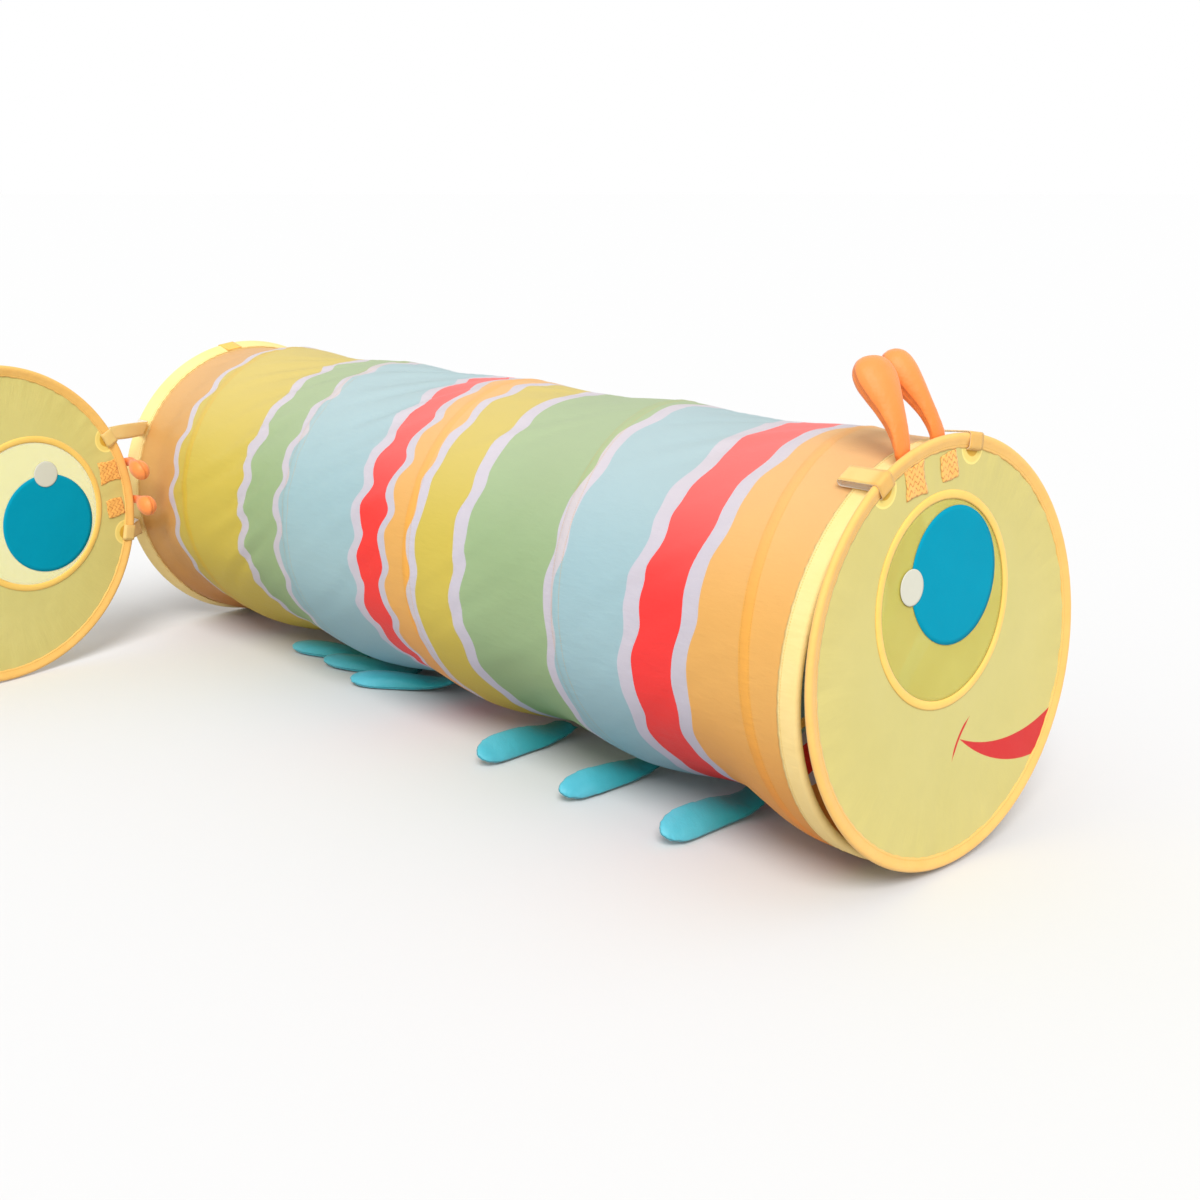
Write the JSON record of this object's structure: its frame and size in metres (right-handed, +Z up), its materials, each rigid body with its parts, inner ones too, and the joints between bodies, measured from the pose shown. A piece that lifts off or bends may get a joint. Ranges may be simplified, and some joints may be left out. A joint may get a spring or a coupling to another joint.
{
  "type": "kids play tunnel",
  "caption": "Pop-up cloth crawl tunnel held open by a wire spiral, with stuffed legs and a round face flap with feelers on straps at each end.",
  "frame": {"origin": "on the floor under the middle of the tunnel, on the skin's flat underside", "axes": "+X along the tunnel towards its front end, +Z up"},
  "size_m": [1.5564, 1.0197, 0.6036],
  "materials": {
    "yellow_cloth": "woven tape and binding, yellow",
    "lemon_cloth": "thin woven nylon, pale lemon",
    "orange_cloth": "thin woven nylon, orange",
    "teal_cloth": "thin woven nylon, blue-green, stuffed",
    "window_net": "fine see-through net",
    "blue_cloth": "bonded cloth patch, blue",
    "white_cloth": "bonded cloth patch, off-white",
    "spring_steel": "tempered round wire",
    "sleeve_steel": "crimped sleeve"
  },
  "bodies": {
    "front_end": {"front_hoop": "spring_steel", "front_hoop_ferrule": "sleeve_steel", "front_hem": "yellow_cloth", "spiral_wire": "spring_steel", "spiral_casing": "yellow_cloth"},
    "bay_1": {"skin_bay_1": "orange_cloth", "front_leg_1_left": "teal_cloth", "front_leg_1_right": "teal_cloth"},
    "bay_2": {"skin_bay_2": "lemon_cloth", "front_leg_2_left": "teal_cloth", "front_leg_2_right": "teal_cloth"},
    "bay_3": {"skin_bay_3": "lemon_cloth", "front_leg_3_left": "teal_cloth", "front_leg_3_right": "teal_cloth"},
    "bay_4": {"skin_bay_4": "lemon_cloth", "rear_leg_1_left": "teal_cloth", "rear_leg_1_right": "teal_cloth"},
    "bay_5": {"skin_bay_5": "lemon_cloth", "rear_leg_2_left": "teal_cloth", "rear_leg_2_right": "teal_cloth", "rear_leg_3_left": "teal_cloth", "rear_leg_3_right": "teal_cloth"},
    "bay_6": {"skin_bay_6": "lemon_cloth"},
    "bay_7": {"skin_bay_7": "orange_cloth"},
    "rear_end": {"rear_hoop": "spring_steel", "rear_hoop_ferrule": "sleeve_steel", "rear_hem": "yellow_cloth", "rear_hem_tab": "orange_cloth"},
    "front_flap": {"front_flap_hoop": "spring_steel", "front_flap_hoop_ferrule": "sleeve_steel", "front_flap_panel": "lemon_cloth", "front_flap_binding": "yellow_cloth", "front_window": "window_net", "front_window_binding": "yellow_cloth", "front_pupil": "blue_cloth", "front_glint": "white_cloth", "front_antenna_left": "orange_cloth", "front_antenna_anchor_left": "orange_cloth", "front_flap_strap_left": "yellow_cloth", "front_antenna_right": "orange_cloth", "front_antenna_anchor_right": "orange_cloth", "front_flap_strap_right": "yellow_cloth"},
    "rear_flap": {"rear_flap_hoop": "spring_steel", "rear_flap_hoop_ferrule": "sleeve_steel", "rear_flap_panel": "lemon_cloth", "rear_flap_binding": "yellow_cloth", "rear_window": "window_net", "rear_window_binding": "yellow_cloth", "rear_pupil": "blue_cloth", "rear_glint": "white_cloth", "rear_antenna_left": "orange_cloth", "rear_antenna_anchor_left": "orange_cloth", "rear_flap_strap_left": "yellow_cloth", "rear_antenna_right": "orange_cloth", "rear_antenna_anchor_right": "orange_cloth", "rear_flap_strap_right": "yellow_cloth"}
  },
  "joints": [
    {"name": "collapse", "type": "slide", "parent": "front_end", "child": "rear_end", "axis": [1, 0, 0], "range_m": [0, 1.4], "stiffness_N_per_m": 15, "springref_m": -0.1, "deforming": ["spiral_wire", "spiral_casing"]},
    {"name": "bay_1_slide", "type": "slide", "parent": "front_end", "child": "bay_1", "axis": [1, 0, 0], "range_m": [0, 0.1], "deforming": ["skin_bay_1", "front_leg_1_left", "front_leg_1_right"]},
    {"name": "bay_2_slide", "type": "slide", "parent": "front_end", "child": "bay_2", "axis": [1, 0, 0], "range_m": [0, 0.3], "deforming": ["skin_bay_2", "front_leg_2_left", "front_leg_2_right"]},
    {"name": "bay_3_slide", "type": "slide", "parent": "front_end", "child": "bay_3", "axis": [1, 0, 0], "range_m": [0, 0.4999], "deforming": ["skin_bay_3", "front_leg_3_left", "front_leg_3_right"]},
    {"name": "bay_4_slide", "type": "slide", "parent": "front_end", "child": "bay_4", "axis": [1, 0, 0], "range_m": [0, 0.7], "deforming": ["skin_bay_4", "rear_leg_1_left", "rear_leg_1_right"]},
    {"name": "bay_5_slide", "type": "slide", "parent": "front_end", "child": "bay_5", "axis": [1, 0, 0], "range_m": [0, 0.9001], "deforming": ["skin_bay_5", "rear_leg_2_left", "rear_leg_2_right", "rear_leg_3_left", "rear_leg_3_right"]},
    {"name": "bay_6_slide", "type": "slide", "parent": "front_end", "child": "bay_6", "axis": [1, 0, 0], "range_m": [0, 1.1], "deforming": ["skin_bay_6"]},
    {"name": "bay_7_slide", "type": "slide", "parent": "front_end", "child": "bay_7", "axis": [1, 0, 0], "range_m": [0, 1.3], "deforming": ["skin_bay_7"]},
    {"name": "front_flap_hinge", "type": "hinge", "parent": "front_end", "child": "front_flap", "pos_m": [0.715, -0.0465, 0.5098], "axis": [0, -0.9848, -0.1736], "range_deg": [-4, 208], "deforming": ["front_antenna_left", "front_flap_strap_left", "front_antenna_right", "front_flap_strap_right"]},
    {"name": "rear_flap_hinge", "type": "hinge", "parent": "rear_end", "child": "rear_flap", "pos_m": [-0.715, -0.2675, 0.2463], "axis": [0, 0, 1], "range_deg": [-188, 24], "deforming": ["rear_antenna_left", "rear_flap_strap_left", "rear_antenna_right", "rear_flap_strap_right"]}
  ],
  "couplings": [
    {"joint": "bay_1_slide", "follows": "collapse", "ratio": 0.0714},
    {"joint": "bay_2_slide", "follows": "collapse", "ratio": 0.2143},
    {"joint": "bay_3_slide", "follows": "collapse", "ratio": 0.3571},
    {"joint": "bay_4_slide", "follows": "collapse", "ratio": 0.5},
    {"joint": "bay_5_slide", "follows": "collapse", "ratio": 0.6429},
    {"joint": "bay_6_slide", "follows": "collapse", "ratio": 0.7857},
    {"joint": "bay_7_slide", "follows": "collapse", "ratio": 0.9286}
  ]
}
